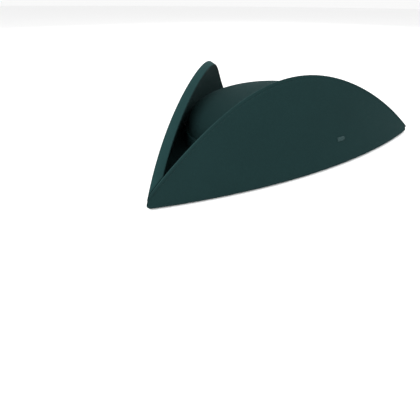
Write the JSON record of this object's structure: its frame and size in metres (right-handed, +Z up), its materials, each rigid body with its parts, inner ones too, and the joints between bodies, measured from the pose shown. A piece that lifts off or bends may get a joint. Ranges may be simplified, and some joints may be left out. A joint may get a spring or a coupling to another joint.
{
  "type": "three-cornered hat",
  "caption": "Cocked hat of stiff wool felt with a low oval crown and a brim turned up in flaps that meet at points.",
  "frame": {"origin": "middle of the head opening, on the plane that the underside of the brim rests on", "axes": "+Z up through the crown, -Y towards the front point, +X towards the wearer's left"},
  "size_m": [0.3108, 0.3126, 0.0909],
  "materials": {
    "wool_felt": "matte milled wool felt",
    "felt_binding": "matte felt edge binding, sewn on",
    "ribbon": "ribbed ribbon",
    "satin_lining": "satin",
    "leather": "smooth, waxed",
    "reed": "extruded cord in thin leather",
    "stiffener": "stiff buckram board",
    "spring_steel": "rolled strip",
    "nickel": "nickel plate",
    "thread": "twisted thread, satin-stitched"
  },
  "bodies": {
    "crown": {"crown_shell": "wool_felt", "hat_band": "ribbon", "lining_side": "satin_lining", "lining_tip": "satin_lining", "sweatband": "leather", "sweatband_reed": "reed", "brim_under_felt": "wool_felt", "brim_core": "stiffener", "brim_top_felt": "wool_felt", "left_snap_socket": "nickel", "right_snap_socket": "nickel", "rear_snap_socket": "nickel"},
    "left_flap": {"left_flap_outer_felt": "wool_felt", "left_flap_core": "stiffener", "left_flap_inner_felt": "wool_felt", "left_flap_edge_binding": "felt_binding", "left_flap_edge_stay": "spring_steel", "left_snap_stud": "nickel", "left_flap_bar_tack": "thread"},
    "right_flap": {"right_flap_outer_felt": "wool_felt", "right_flap_core": "stiffener", "right_flap_inner_felt": "wool_felt", "right_flap_edge_binding": "felt_binding", "right_flap_edge_stay": "spring_steel", "right_snap_stud": "nickel", "right_flap_bar_tack": "thread"},
    "rear_flap": {"rear_flap_outer_felt": "wool_felt", "rear_flap_core": "stiffener", "rear_flap_inner_felt": "wool_felt", "rear_flap_edge_binding": "felt_binding", "rear_flap_edge_stay": "spring_steel", "rear_snap_stud": "nickel"}
  },
  "joints": [
    {"name": "left_flap_fold", "type": "hinge", "parent": "crown", "child": "left_flap", "pos_m": [0.09603, -0.0502, 0.004], "axis": [0.4688, 0.8833, 0], "range_deg": [0, 100]},
    {"name": "right_flap_fold", "type": "hinge", "parent": "crown", "child": "right_flap", "pos_m": [-0.09603, -0.0502, 0.004], "axis": [0.4688, -0.8833, 0], "range_deg": [0, 100]},
    {"name": "rear_flap_fold", "type": "hinge", "parent": "crown", "child": "rear_flap", "pos_m": [0, 0.122, 0.004], "axis": [-1, 0, 0], "range_deg": [0, 90]}
  ]
}
